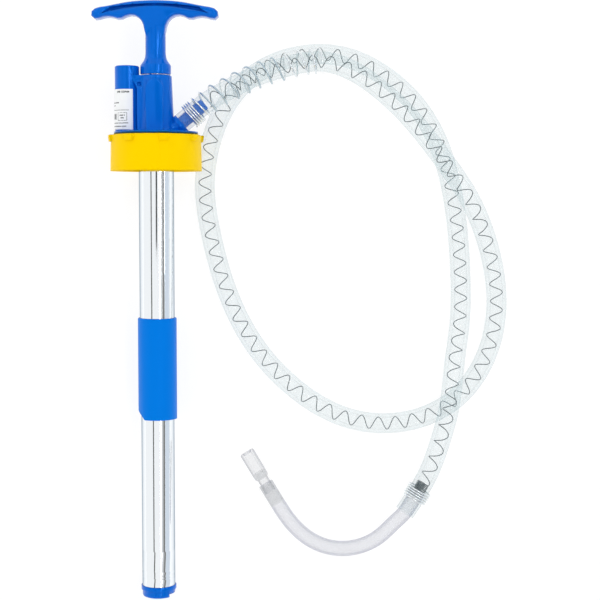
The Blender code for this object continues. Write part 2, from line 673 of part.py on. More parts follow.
def build_handle(finishes, axis):
    """The T-handle: collar, stem and grooved finger bar, with its cross pin."""
    blue = finishes["blue"]
    handle = turned("t_handle", (
        (0.0, COLLAR_LOW), (COLLAR_R - 0.7, COLLAR_LOW), (COLLAR_R, COLLAR_LOW + 0.7),
        (COLLAR_R, 499.9), (13.3, 501.4), (11.2, 504.2), (9.9, 507.2), (STEM_R, 510.5),
        (STEM_R, STEM_TOP), (0.0, STEM_TOP)), blue, axis)
    edge, _ = smooth_curve([(x, 0.0, z) for x, z in BAR_EDGE], 32)
    right = [(x, z) for x, _, z in edge]
    outline = right + [(-x, z) for x, z in right[:0:-1]]
    bar = prism("handle_bar", outline, -BAR_DEPTH / 2.0, BAR_DEPTH / 2.0, blue, axis)
    rounding = bar.modifiers.new("rounding", "BEVEL")
    rounding.width = 3.0 * MM
    rounding.segments = 2
    rounding.limit_method = "ANGLE"
    rounding.angle_limit = math.radians(60.0)
    side = prism("bar_side", list(BAR_SIDE) + [(-y, z) for y, z in BAR_SIDE[::-1]],
                 -70.0, 70.0, blue, axis)
    side.data.transform(Matrix.Rotation(math.radians(90.0), 4, "Z"))
    combine(bar, (side,), "INTERSECT")
    combine(handle, (bar,), "UNION")
    face = BAR_DEPTH / 2.0
    grooves = [prism(f"bar_groove_{side}", groove_outline(), side * (face - GROOVE_DEPTH),
                     side * (face + 1.0), blue, axis) for side in (-1, 1)]
    bore = rod("handle_bore", ROD_R + GAP, (0.0, 0.0, COLLAR_LOW - 1.0),
               (0.0, 0.0, ROD_TOP + 0.5), blue, axis)
    pin_hole = rod("handle_pin_hole", 1.8, (-14.0, 0.0, PIN_HEIGHT), (14.0, 0.0, PIN_HEIGHT),
                   blue, axis, 12)
    combine(handle, [bore, pin_hole] + grooves, "DIFFERENCE")
    rod("handle_pin", 1.45, (-9.0, 0.0, PIN_HEIGHT), (9.0, 0.0, PIN_HEIGHT),
        finishes["zinc"], axis, 12)


# --------------------------------------------------------- hose and nozzle

def build_hose(finishes):
    """The hose in three lengths, its kink guard, and the clamp of the nozzle."""
    line, length = smooth_curve(HOSE_ROUTE, 900)
    line[:, 2] = np.maximum(line[:, 2], HOSE_R)
    clear = finishes["clear"]
    plain_end = length - NOZZLE_GRIP - 2.0 * GAP
    cuff = tube_places((0.0, 3), (BARB_LENGTH + GAP, 0))
    hollow_tube("hose_cuff_spout", points_at(line, cuff), HOSE_R, CUFF_BORE_R, clear)
    plain = tube_places((BARB_LENGTH + 2.0 * GAP, GUARD_RINGS), (GUARD_REACH, HOSE_RINGS), (plain_end, 0))
    wire("hose", points_at(line, plain), HOSE_R, 3, clear)
    cuff = tube_places((plain_end + GAP, 3), (length, 0))
    hollow_tube("hose_cuff_nozzle", points_at(line, cuff), HOSE_R, NOZZLE_CUFF_BORE_R, clear)
    guard = coil_line(line, GUARD_TURNS, GUARD_COIL_R, COIL_STEPS)
    wire("kink_guard_spring", guard, GUARD_WIRE_R, 1, finishes["wire"])
    start = length - CLAMP_START
    turns = ((0, start), (CLAMP_TURNS, start + CLAMP_TURNS * CLAMP_PITCH))
    clamp = coil_line(line, turns, CLAMP_COIL_R, COIL_STEPS)
    wire("nozzle_clamp_spring", clamp, CLAMP_WIRE_R, 1, finishes["wire"])
    return points_at(line, np.linspace(length - NOZZLE_GRIP, length, 3))


def build_nozzle(finishes, grip_line):
    """The bent clear nozzle and the tip pushed into its end."""
    clear = finishes["clear"]
    route = [tuple(point) for point in grip_line] + list(NOZZLE_ROUTE)
    line, _ = smooth_curve(route, 24)
    hollow_tube("nozzle_tube", line, NOZZLE_R, NOZZLE_BORE_R, clear, 12)
    base, end = Vector(NOZZLE_ROUTE[-1]), Vector(NOZZLE_TIP_END)
    length = (end - base).length
    tip = turned("nozzle_tip", (
        (3.8, -9.0), (5.1, -9.0), (5.1, 5.4), (6.3, 6.6), (7.0, 9.0), (7.0, length - 0.6),
        (6.3, length), (4.4, length), (3.8, length - 2.0)), clear, None, 20)
    tip.location = base * MM
    tip.rotation_euler = (end - base).to_track_quat("Z", "Y").to_euler()


def main():
    """Clear the file and build every piece of the pump."""
    for item in list(bpy.data.objects):
        bpy.data.objects.remove(item, do_unlink=True)
    finishes = make_finishes()
    axis = pump_axis_empty()
    build_head(finishes, axis)
    build_label(finishes, axis)
    build_head_internals(finishes, axis)
    build_cap(finishes, axis)
    build_tubes(finishes, axis)
    build_foot(finishes, axis)
    build_piston(finishes, axis)
    build_handle(finishes, axis)
    build_nozzle(finishes, build_hose(finishes))


main()
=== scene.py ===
"""Looks of a hand drum pump with a clear hose, lying on a pale studio table.

The pump's hidden parts are nodes of the frame and are only dressed here.  The
nodes that show are each replaced by a smooth-shaded skin made from the node's
own mesh.  The hose, its wire, its coils and the bent nozzle are surfaces swept
along a line, the nozzle's tip is turned, and the label is a curved sheet.
Lengths are in millimetres and become metres where a mesh is made, except in
the studio, which is in metres throughout.
"""

from __future__ import annotations

import json
import logging
import math
from dataclasses import dataclass, field
from enum import Enum
from typing import Iterable, Sequence

import bmesh
import bpy
import numpy as np
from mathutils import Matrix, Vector

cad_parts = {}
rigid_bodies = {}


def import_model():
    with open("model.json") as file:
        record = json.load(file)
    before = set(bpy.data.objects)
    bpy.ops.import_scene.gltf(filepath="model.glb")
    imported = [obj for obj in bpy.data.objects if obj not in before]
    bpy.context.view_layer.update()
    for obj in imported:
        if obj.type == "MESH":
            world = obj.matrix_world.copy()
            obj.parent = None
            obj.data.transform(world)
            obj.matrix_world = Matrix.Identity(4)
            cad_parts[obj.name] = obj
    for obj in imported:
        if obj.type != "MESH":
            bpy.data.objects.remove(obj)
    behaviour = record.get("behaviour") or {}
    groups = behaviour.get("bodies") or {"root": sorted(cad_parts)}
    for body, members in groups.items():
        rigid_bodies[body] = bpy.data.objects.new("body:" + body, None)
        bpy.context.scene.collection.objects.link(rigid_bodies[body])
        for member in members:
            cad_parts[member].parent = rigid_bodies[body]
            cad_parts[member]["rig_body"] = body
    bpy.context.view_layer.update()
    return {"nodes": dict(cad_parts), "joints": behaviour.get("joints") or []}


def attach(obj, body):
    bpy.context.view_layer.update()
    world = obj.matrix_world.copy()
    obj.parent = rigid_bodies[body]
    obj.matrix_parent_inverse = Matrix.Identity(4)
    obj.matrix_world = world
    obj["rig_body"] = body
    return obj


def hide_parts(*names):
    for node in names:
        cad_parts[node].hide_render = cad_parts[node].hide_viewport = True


LOG = logging.getLogger("pump")
MM = 0.001
TURN = 2.0 * math.pi
PUMP_BODY = "pump_body"
SAME_PLACE = 1.0e-6                   # vertices nearer than this are one, in metres
SKIN_SHARP = math.radians(38.0)       # edges sharper than this stay sharp on a skin
SWEPT_SHARP = math.radians(40.0)      # the same on a swept piece
SPLINE_STEPS = 40                     # fine points drawn for each point of a route
HOSE_POINTS = 900                     # points of the hose's centreline
CAP_JOINT_HEIGHT = 430.0              # height of the cap's joint above the foot

Route = Sequence[tuple[float, float, float]]


class Slot(Enum):
    """The material slots of the record."""

    BLUE = "blue_plastic"
    CLEAR = "clear_pvc"
    WIRE = "spring_wire"
    CHROME = "chromed_tube"
    YELLOW = "yellow_plastic"
    LABEL = "paper_label"


# ------------------------------------------------------------------ colour

def linear(code: str) -> tuple[float, float, float, float]:
    """Turn an sRGB hex colour into linear light.

    Args:
        code: Six hex digits, with or without a leading #.

    Returns:
        Red, green, blue and an alpha of one.
    """
    code = code.lstrip("#")
    levels = [int(code[at:at + 2], 16) / 255.0 for at in (0, 2, 4)]
    light = [v / 12.92 if v <= 0.04045 else ((v + 0.055) / 1.055) ** 2.4 for v in levels]
    return light[0], light[1], light[2], 1.0


def add_node(tree: bpy.types.NodeTree, kind: str, values: dict[str, object] | None = None,
             **settings: object) -> bpy.types.Node:
    """Add one shader node.

    Args:
        tree: The tree it goes in.
        kind: The node's type name.
        values: Input socket values by socket name.
        **settings: Properties of the node itself.

    Returns:
        The new node.
    """
    node = tree.nodes.new(kind)
    for key, value in settings.items():
        setattr(node, key, value)
    for key, value in (values or {}).items():
        node.inputs[key].default_value = value
    return node


def new_material(name: str, values: dict[str, object]) -> tuple[bpy.types.Material, bpy.types.Node]:
    """Make a material with one Principled shader.

    Args:
        name: The material's name.
        values: Input values of the shader.

    Returns:
        The material and its shader node.
    """
    material = bpy.data.materials.new(name)
    material.use_nodes = True
    shader = material.node_tree.nodes["Principled BSDF"]
    for key, value in values.items():
        shader.inputs[key].default_value = value
    return material, shader


def add_bump(material: bpy.types.Material, shader: bpy.types.Node, grain_mm: float,
             depth_mm: float) -> None:
    """Give a material a fine noise relief in Object coordinates.

    Args:
        material: The material.
        shader: Its Principled node.
        grain_mm: The size of one grain.
        depth_mm: The height of the relief.
    """
    tree = material.node_tree
    coords = add_node(tree, "ShaderNodeTexCoord")
    noise = add_node(tree, "ShaderNodeTexNoise", {"Scale": 1.0 / (grain_mm * MM), "Detail": 3.0})
    bump = add_node(tree, "ShaderNodeBump", {"Strength": 1.0, "Distance": depth_mm * MM})
    tree.links.new(coords.outputs["Object"], noise.inputs["Vector"])
    tree.links.new(noise.outputs["Fac"], bump.inputs["Height"])
    tree.links.new(bump.outputs["Normal"], shader.inputs["Normal"])


# ---------------------------------------------------------------- finishes

@dataclass(frozen=True)
class Plastic:
    """A moulded plastic or rubber.

    The surface has the faint relief that the mould leaves.
    """

    name: str
    colour: str
    roughness: float
    grain_mm: float = 0.8
    depth_mm: float = 0.004
    shine: float = 0.5
    tint: str = "#FFFFFF"

    def make(self) -> bpy.types.Material:
        """Return the material."""
        material, shader = new_material(self.name, {
            "Base Color": linear(self.colour), "Roughness": self.roughness,
            "Specular IOR Level": self.shine, "Specular Tint": linear(self.tint)})
        add_bump(material, shader, self.grain_mm, self.depth_mm)
        return material


@dataclass(frozen=True)
class Metal:
    """A bare or plated metal whose polish varies in soft streaks along Y, the way it was drawn."""

    name: str
    colour: str
    roughness: float
    edge: str = "#FFFFFF"
    grain_mm: float = 4.0
    lengthwise: float = 0.1
    unevenness: float = 0.3

    def make(self) -> bpy.types.Material:
        """Return the material: roughness follows a noise stretched along Y."""
        material, shader = new_material(self.name, {
            "Base Color": linear(self.colour), "Metallic": 1.0, "Specular Tint": linear(self.edge)})
        tree = material.node_tree
        coords = add_node(tree, "ShaderNodeTexCoord")
        place = add_node(tree, "ShaderNodeMapping", {"Scale": (1.0, self.lengthwise, 1.0)})
        noise = add_node(tree, "ShaderNodeTexNoise", {"Scale": 1.0 / (self.grain_mm * MM), "Detail": 2.0})
        polish = add_node(tree, "ShaderNodeMapRange", {
            "To Min": self.roughness * (1.0 - self.unevenness),
            "To Max": self.roughness * (1.0 + self.unevenness)})
        tree.links.new(coords.outputs["Object"], place.inputs["Vector"])
        tree.links.new(place.outputs["Vector"], noise.inputs["Vector"])
        tree.links.new(noise.outputs["Fac"], polish.inputs["Value"])
        tree.links.new(polish.outputs["Result"], shader.inputs["Roughness"])
        return material


@dataclass(frozen=True)
class ClearPlastic:
    """A clear plastic wall, more solid where it is seen edge on."""

    name: str
    colour: str
    middle: float
    edge: float
    roughness: float = 0.12
    power: float = 3.0

    def make(self) -> bpy.types.Material:
        """Return the material: opacity is middle + (edge - middle) * facing ** power."""
        material, shader = new_material(self.name, {
            "Base Color": linear(self.colour), "Roughness": self.roughness})
        tree = material.node_tree
        facing = add_node(tree, "ShaderNodeLayerWeight", {"Blend": 0.5})
        curve = add_node(tree, "ShaderNodeMath", operation="POWER")
        curve.inputs[1].default_value = self.power
        span = add_node(tree, "ShaderNodeMapRange", {"To Min": self.middle, "To Max": self.edge})
        tree.links.new(facing.outputs["Facing"], curve.inputs[0])
        tree.links.new(curve.outputs[0], span.inputs["Value"])
        tree.links.new(span.outputs["Result"], shader.inputs["Alpha"])
        return material


@dataclass(frozen=True)
class PrintedLabel:
    """White coated paper with a few grey marks in place of its print.

    The marks are drawn on the label's own map: U runs round the label from its
    edge and V up it, both in millimetres.  Each mark is (u, v, half width, half height).
    """

    name: str = "coated_paper_printed"
    paper: str = "#F4F6F7"
    ink: str = "#2C3036"
    marks: tuple[tuple[float, float, float, float], ...] = (
        (25.8, 34.4, 1.8, 0.8), (32.3, 34.4, 3.6, 0.8), (21.5, 24.4, 4.5, 0.45),
        (19.3, 21.8, 2.3, 0.45), (26.3, 17.7, 9.2, 0.25), (29.2, 15.4, 4.3, 0.22),
        (29.2, 8.2, 4.3, 0.22), (24.9, 11.8, 0.25, 3.6), (33.5, 11.8, 0.25, 3.6),
        (29.2, 13.0, 2.6, 0.5), (29.2, 10.6, 1.6, 0.5), (20.3, 11.8, 2.4, 2.6),
        (26.0, 5.9, 9.0, 0.4), (25.0, 2.9, 8.0, 0.4))

    def make(self) -> bpy.types.Material:
        """Return the material: ink inside any of the marks, broken up by a fine noise."""
        material, shader = new_material(self.name, {"Roughness": 0.35})
        tree = material.node_tree
        coords = add_node(tree, "ShaderNodeUVMap", uv_map="label_mm")
        split = add_node(tree, "ShaderNodeSeparateXYZ")
        tree.links.new(coords.outputs["UV"], split.inputs["Vector"])
        total = None
        for u_mid, v_mid, u_half, v_half in self.marks:
            across = self.within(tree, split.outputs["X"], u_mid, u_half)
            along = self.within(tree, split.outputs["Y"], v_mid, v_half)
            box = self.pair(tree, "MULTIPLY", across, along)
            total = box if total is None else self.pair(tree, "MAXIMUM", total, box)
        grain = add_node(tree, "ShaderNodeTexNoise", {"Scale": 1.2, "Detail": 2.0})
        tree.links.new(coords.outputs["UV"], grain.inputs["Vector"])
        gaps = add_node(tree, "ShaderNodeMapRange", {"From Min": 0.35, "From Max": 0.5})
        tree.links.new(grain.outputs["Fac"], gaps.inputs["Value"])
        broken = self.pair(tree, "MULTIPLY", total, gaps.outputs["Result"])
        mix = add_node(tree, "ShaderNodeMix", data_type="RGBA")
        mix.inputs["A"].default_value = linear(self.paper)
        mix.inputs["B"].default_value = linear(self.ink)
        tree.links.new(broken, mix.inputs["Factor"])
        tree.links.new(mix.outputs["Result"], shader.inputs["Base Color"])
        return material

    @staticmethod
    def pair(tree: bpy.types.NodeTree, operation: str, first: bpy.types.NodeSocket,
             second: bpy.types.NodeSocket) -> bpy.types.NodeSocket:
        """Return the output of a two-value operation on two sockets."""
        node = add_node(tree, "ShaderNodeMath", operation=operation)
        tree.links.new(first, node.inputs[0])
        tree.links.new(second, node.inputs[1])
        return node.outputs[0]

    @staticmethod
    def within(tree: bpy.types.NodeTree, value: bpy.types.NodeSocket, middle: float,
               half: float) -> bpy.types.NodeSocket:
        """Return one where a value is within half of a middle, else zero."""
        node = add_node(tree, "ShaderNodeMath", operation="COMPARE")
        tree.links.new(value, node.inputs[0])
        node.inputs[1].default_value = middle
        node.inputs[2].default_value = half
        return node.outputs[0]


# ------------------------------------------------------------------- lines

@dataclass
class Line:
    """A smooth line in space with a steady frame along it.

    points are its points in millimetres, close together; sides and ups are
    unit vectors square to it, carried along with the least twist.
    """

    points: np.ndarray
    travel: np.ndarray = field(init=False)
    sides: np.ndarray = field(init=False)
    ups: np.ndarray = field(init=False)

    def __post_init__(self) -> None:
        """Measure the line and carry the frame along it."""
        steps = np.linalg.norm(np.diff(self.points, axis=0), axis=1)
        self.travel = np.append(0.0, np.cumsum(steps))
        heading = np.gradient(self.points, axis=0)
        heading /= np.linalg.norm(heading, axis=1)[:, None]
        side = np.cross(heading[0], (0.0, 0.0, 1.0))
        sides = []
        for direction in heading:
            side = side - direction * np.dot(side, direction)
            side = side / np.linalg.norm(side)
            sides.append(side)
        self.sides = np.array(sides)
        self.ups = np.cross(heading, self.sides)

    @property
    def length(self) -> float:
        """The line's length in millimetres."""
        return float(self.travel[-1])

    def read(self, values: np.ndarray, where: np.ndarray) -> np.ndarray:
        """Interpolate per-point vectors at distances along the line."""
        return np.stack([np.interp(where, self.travel, values[:, axis]) for axis in range(3)], 1)

    def part(self, start: float, end: float, count: int) -> "Line":
        """Return the stretch between two distances as a line of count points."""
        return Line(self.read(self.points, np.linspace(start, end, count)))

    def around(self, where: np.ndarray, angle: np.ndarray, radius: np.ndarray) -> np.ndarray:
        """Return points at an angle and radius round the line.

        Args:
            where: Distances along the line.
            angle: Angles round it.
            radius: Distances from it.

        Returns:
            The points in millimetres.
        """
        centre = self.read(self.points, where)
        side = self.read(self.sides, where)
        up = self.read(self.ups, where)
        turn = angle[:, None]
        return centre + radius[:, None] * (np.cos(turn) * side + np.sin(turn) * up)


def smooth_line(route: Route, count: int) -> Line:
    """Draw a natural cubic spline through a route.

    The parameter is the distance from point to point, and the spline's second
    derivatives come from the usual linear system.

    Args:
        route: Points in millimetres.
        count: How many evenly spaced points to return.

    Returns:
        The line.
    """
    points = np.array(route, dtype=float)
    knots = np.append(0.0, np.cumsum(np.linalg.norm(np.diff(points, axis=0), axis=1)))
    span = np.diff(knots)
    size = len(points)
    system = np.eye(size)
    right = np.zeros((size, 3))
    for index in range(1, size - 1):
        before, after = span[index - 1], span[index]
        system[index, index - 1:index + 2] = (before, 2.0 * (before + after), after)
        right[index] = 6.0 * ((points[index + 1] - points[index]) / after
                              - (points[index] - points[index - 1]) / before)
    bend = np.linalg.solve(system, right)
    place = np.linspace(0.0, knots[-1], SPLINE_STEPS * size)
    part = np.clip(np.searchsorted(knots, place, side="right") - 1, 0, size - 2)
    width = span[part][:, None]
    ahead = (place - knots[part])[:, None]
    left = width - ahead
    fine = (bend[part] * left ** 3 + bend[part + 1] * ahead ** 3) / (6.0 * width)
    fine += (points[part] / width - bend[part] * width / 6.0) * left
    fine += (points[part + 1] / width - bend[part + 1] * width / 6.0) * ahead
    travel = np.append(0.0, np.cumsum(np.linalg.norm(np.diff(fine, axis=0), axis=1)))
    wanted = np.linspace(0.0, travel[-1], count)
    return Line(np.stack([np.interp(wanted, travel, fine[:, axis]) for axis in range(3)], 1))


# ------------------------------------------------------------------ meshes

def ring_faces(rings: int, steps: int, first: int = 0) -> list[tuple[int, ...]]:
    """Return the quads between rings of vertices that follow one another."""
    faces = []
    for ring in range(rings - 1):
        low, high = first + ring * steps, first + (ring + 1) * steps
        for index in range(steps):
            after = (index + 1) % steps
            faces.append((low + index, low + after, high + after, high + index))
    return faces


def make_piece(name: str, points: np.ndarray, faces: list[tuple[int, ...]],
               material: bpy.types.Material, body: str) -> bpy.types.Object:
    """Make a smooth mesh object that rides on a body.

    Args:
        name: The piece's name.
        points: Vertices in millimetres.
        faces: Vertex indices of each face.
        material: Its finish.
        body: The body it moves with.

    Returns:
        The object.
    """
    mesh = bpy.data.meshes.new(name)
    mesh.from_pydata((points * MM).tolist(), [], faces)
    mesh.validate()
    mesh.shade_smooth()
    mesh.set_sharp_from_angle(angle=SWEPT_SHARP)
    piece = bpy.data.objects.new(name, mesh)
    bpy.context.scene.collection.objects.link(piece)
    mesh.materials.append(material)
    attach(piece, body)
    LOG.info("%s: %d faces", name, len(faces))
    return piece


def paint_rings(piece: bpy.types.Object, steps: int, rings: Iterable[int],
                material: bpy.types.Material) -> None:
    """Give some of a swept piece's rings of faces another material.

    Args:
        piece: The piece.
        steps: Faces in one ring.
        rings: The rings that change.
        material: The other material.
    """
    piece.data.materials.append(material)
    slot = len(piece.data.materials) - 1
    for ring in rings:
        for face in piece.data.polygons[ring * steps:(ring + 1) * steps]:
            face.material_index = slot


def swept_bar(line: Line, radii: np.ndarray, steps: int) -> tuple[np.ndarray, list[tuple[int, ...]]]:
    """Return the surface of a solid round bar along a line, with flat ends."""
    angle = np.arange(steps) * TURN / steps
    count = len(line.points)
    spread = (np.cos(angle)[None, :, None] * line.sides[:, None, :]
              + np.sin(angle)[None, :, None] * line.ups[:, None, :])
    points = line.points[:, None, :] + radii[:, None, None] * spread
    faces = ring_faces(count, steps)
    faces.append(tuple(range(steps - 1, -1, -1)))
    faces.append(tuple(range((count - 1) * steps, count * steps)))
    return points.reshape(-1, 3), faces


def swept_shell(line: Line, outer: np.ndarray, inner: np.ndarray,
                steps: int) -> tuple[np.ndarray, list[tuple[int, ...]]]:
    """Return the surface of a hollow tube along a line, open at both ends."""
    angle = np.arange(steps) * TURN / steps
    spread = (np.cos(angle)[None, :, None] * line.sides[:, None, :]
              + np.sin(angle)[None, :, None] * line.ups[:, None, :])
    outside = line.points[:, None, :] + outer[:, None, None] * spread
    inside = line.points[:, None, :] + inner[:, None, None] * spread
    loop = np.concatenate((outside, inside[::-1], outside[:1]))
    return loop[:-1].reshape(-1, 3), close_loop(len(loop), steps)


def close_loop(rings: int, steps: int) -> list[tuple[int, ...]]:
    """Return the quads of rings whose last one is the first one again."""
    total = (rings - 1) * steps
    return [tuple(corner % total for corner in face) for face in ring_faces(rings, steps)]


def turned_shell(base: Vector, heading: Vector, profile: Sequence[tuple[float, float]],
                 steps: int) -> tuple[np.ndarray, list[tuple[int, ...]]]:
    """Spin a closed profile of (radius, distance) round a straight axis.

    Args:
        base: A point on the axis, in millimetres.
        heading: The axis.
        profile: Its corners, outside first and back along the bore.
        steps: Facets round it.

    Returns:
        The vertices and faces.
    """
    along = np.array(heading.normalized())
    side = np.array(heading.orthogonal().normalized())
    up = np.cross(along, side)
    angle = np.arange(steps) * TURN / steps
    spread = np.cos(angle)[:, None] * side + np.sin(angle)[:, None] * up
    rows = [np.array(base) + distance * along + radius * spread for radius, distance in profile]
    return np.concatenate(rows), close_loop(len(profile) + 1, steps)


# ---------------------------------------------------------------- the pump

@dataclass
class PumpAxis:
    """The pump's own axis, from the foot (0) to the handle, as the joints give it."""

    base: Vector
    along: Vector

    @classmethod
    def from_joints(cls, joints: list[dict], cap_height: float) -> "PumpAxis":
        """Read the axis off the cap's joint.

        Args:
            joints: The record's joints.
            cap_height: Height of that joint's point above the foot, in millimetres.

        Returns:
            The axis.
        """
        cap = next(joint for joint in joints if joint["name"] == "cap_turn")
        along = Vector(cap["axis"]).normalized()
        return cls(Vector(cap["pos_m"]) / MM - along * cap_height, along)

    def at(self, x: float, y: float, z: float) -> np.ndarray:
        """Return a point given across, towards the table and along the pump."""
        down = Vector((0.0, self.along.z, -self.along.y))
        return np.array(self.base + Vector((x, 0.0, 0.0)) + down * y + self.along * z)


@dataclass
class Hose:
    """The clear hose, the wire inside it and the two coils round it."""

    route: Route
    radius: float = 9.5
    bore: float = 6.3
    cuff_bore: float = 7.0
    nozzle_bore: float = 7.35
    nozzle_grip: float = 24.4
    barb: float = 27.0
    barb_taper: float = 6.0
    nozzle_taper: float = 5.0
    wire_radius: float = 0.42
    wire_coil_radius: float = 5.7
    wire_pitch: float = 16.6
    wire_gap: float = 3.0
    wire_per_turn: int = 24
    wire_end: float = 24.8
    dense_length: float = 8.5
    dense_turns: float = 6.0
    guard_coil_radius: float = 11.5
    guard_wire_radius: float = 0.85
    guard_turns: tuple[tuple[float, float], ...] = (
        (0, 8.2), (4, 17.4), (5, 24.2), (6, 32.7), (12, 107.7), (13, 120.0),
        (14, 132.5), (15, 141.0), (15.8, 146.0))
    clamp_coil_radius: float = 11.2
    clamp_wire_radius: float = 0.75
    clamp_start: float = 27.0
    clamp_turns: float = 5.0
    clamp_pitch: float = 2.3
    clamp_per_turn: int = 32
    rings: int = 420
    steps: int = 32
    wire_steps: int = 10
    guard_per_turn: int = 32
    guard_loose: tuple[float, float] = (5.6, 12.4)

    def __post_init__(self) -> None:
        """Draw the hose's centreline, which never goes below its own radius."""
        line = smooth_line(self.route, HOSE_POINTS)
        line.points[:, 2] = np.maximum(line.points[:, 2], self.radius)
        self.line = Line(line.points)

    def build(self, wall: bpy.types.Material, steel: bpy.types.Material,
              guard: bpy.types.Material, worn: bpy.types.Material, faint: bpy.types.Material,
              bore: bpy.types.Material) -> None:
        """Args:
            wall: Finish of the hose.
            steel: Finish of the wire inside it.
            guard: Finish of the clamp and of the kink guard's ends.
            worn: Finish of the kink guard's open turns.
            faint: Finish of their undersides, which the hose veils.
            bore: Finish of the hose's inner surface.
        """
        tube = self.wall_piece(wall)
        paint_rings(tube, self.steps, range(self.rings, 2 * self.rings - 1), bore)
        coil = self.kink_guard(guard)
        first, last = (int(turn * self.guard_per_turn) for turn in self.guard_loose)
        under = [ring for ring in range(first, last)
                 if ring % self.guard_per_turn < self.guard_per_turn // 2]
        paint_rings(coil, self.wire_steps, range(first, last), worn)
        paint_rings(coil, self.wire_steps, under, faint)
        pieces = [self.inner_wire(steel), coil, self.clamp(guard)]
        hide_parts("hose", "hose_cuff_spout", "hose_cuff_nozzle")
        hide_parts("kink_guard_spring")
        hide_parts("nozzle_clamp_spring")
        pieces += [bpy.data.objects["nozzle_wall"], bpy.data.objects["nozzle_end"]]
        path = self.line.part(0.0, self.line.length, self.rings).points * MM

    def wall_piece(self, material: bpy.types.Material) -> bpy.types.Object:
        """Build the hose's wall; its bore widens over the barb and the nozzle."""
        line = self.line.part(0.0, self.line.length, self.rings)
        where = line.travel
        inner = np.interp(where, (self.barb, self.barb + self.barb_taper,
                                  line.length - self.nozzle_grip - self.nozzle_taper,
                                  line.length - self.nozzle_grip),
                          (self.cuff_bore, self.bore, self.bore, self.nozzle_bore))
        outer = np.full(len(where), self.radius)
        points, faces = swept_shell(line, outer, inner, self.steps)
        return make_piece("hose_wall", points, faces, material, PUMP_BODY)

    def coil(self, name: str, turns: Sequence[tuple[float, float]], coil_radius: float,
             wire_radius: float, per_turn: int, material: bpy.types.Material) -> bpy.types.Object:
        """Build a wire coil round the hose's line.

        Args:
            name: The piece's name.
            turns: Pairs of turn number and distance along the hose.
            coil_radius: Radius of the wire's centre.
            wire_radius: The wire's own radius.
            per_turn: Points in one turn.
            material: Its finish.

        Returns:
            The object.
        """
        numbers, distances = zip(*turns)
        turn = np.linspace(numbers[0], numbers[-1], int((numbers[-1] - numbers[0]) * per_turn) + 1)
        where = np.interp(turn, numbers, distances)
        spots = self.line.around(where, turn * TURN, np.full(len(turn), coil_radius))
        wire = Line(spots)
        points, faces = swept_bar(wire, np.full(len(spots), wire_radius), self.wire_steps)
        return make_piece(name, points, faces, material, PUMP_BODY)

    def inner_wire(self, material: bpy.types.Material) -> bpy.types.Object:
        """Build the open wire coil inside the hose, close-wound at its far end."""
        start, end = self.barb + self.wire_gap, self.line.length - self.wire_end
        turns = (end - self.dense_length - start) / self.wire_pitch
        places = ((0.0, start), (turns, end - self.dense_length), (turns + self.dense_turns, end))
        return self.coil("hose_wire", places, self.wire_coil_radius, self.wire_radius,
                         self.wire_per_turn, material)

    def kink_guard(self, material: bpy.types.Material) -> bpy.types.Object:
        """Build the coil round the hose at the spout."""
        return self.coil("kink_guard_coil", self.guard_turns, self.guard_coil_radius,
                         self.guard_wire_radius, self.guard_per_turn, material)

    def clamp(self, material: bpy.types.Material) -> bpy.types.Object:
        """Build the short coil that grips the nozzle's end of the hose."""
        start = self.line.length - self.clamp_start
        places = ((0.0, start), (self.clamp_turns, start + self.clamp_turns * self.clamp_pitch))
        return self.coil("nozzle_clamp_coil", places, self.clamp_coil_radius,
                         self.clamp_wire_radius, self.clamp_per_turn, material)


@dataclass
class Nozzle:
    """The bent clear nozzle and the tip in its end."""

    route: Route
    tip_end: tuple[float, float, float]
    radius: float = 7.1
    bore: float = 5.5
    grip: float = 24.4
    frosted: float = 24.0
    cloudy_tip_rings: tuple[int, int] = (1, 6)
    steps: int = 28
    rings: int = 90

    def build(self, hose: Line, wall: bpy.types.Material, tip: bpy.types.Material,
              frost: bpy.types.Material, bore: bpy.types.Material) -> None:
        """Build the nozzle, which starts inside the hose's end.

        Args:
            hose: The hose's centreline.
            wall: Finish of the bent tube.
            tip: Finish of its tip.
            frost: Finish of the tube's last stretch, cloudy from the tip's push fit.
            bore: Finish of the inner surfaces.
        """
        start = hose.part(hose.length - self.grip, hose.length, 3).points.tolist()
        line = smooth_line([tuple(point) for point in start] + list(self.route), self.rings)
        count = len(line.points)
        points, faces = swept_shell(line, np.full(count, self.radius), np.full(count, self.bore),
                                    self.steps)
        tube = make_piece("nozzle_wall", points, faces, wall, PUMP_BODY)
        clear_rings = int(count * (1.0 - self.frosted / line.length))
        paint_rings(tube, self.steps, range(count, 2 * count - 1), bore)
        paint_rings(tube, self.steps, range(clear_rings, count - 1), frost)
        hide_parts("nozzle_tube")
        base, end = Vector(self.route[-1]), Vector(self.tip_end)
        length = (end - base).length
        profile = ((5.1, -9.0), (5.1, 5.4), (5.4, 5.8), (6.3, 6.6), (6.8, 7.6), (7.0, 9.0),
                   (7.0, 13.0), (7.0, length - 1.4), (6.7, length - 0.5), (6.2, length), (4.6, length),
                   (4.1, length - 0.8), (3.8, length - 2.5), (3.8, -9.0))
        points, faces = turned_shell(base, end - base, profile, self.steps)
        piece = make_piece("nozzle_end", points, faces, tip, PUMP_BODY)
        paint_rings(piece, self.steps, range(len(profile) - 2, len(profile)), bore)
        paint_rings(piece, self.steps, range(*self.cloudy_tip_rings), frost)
        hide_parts("nozzle_tip")


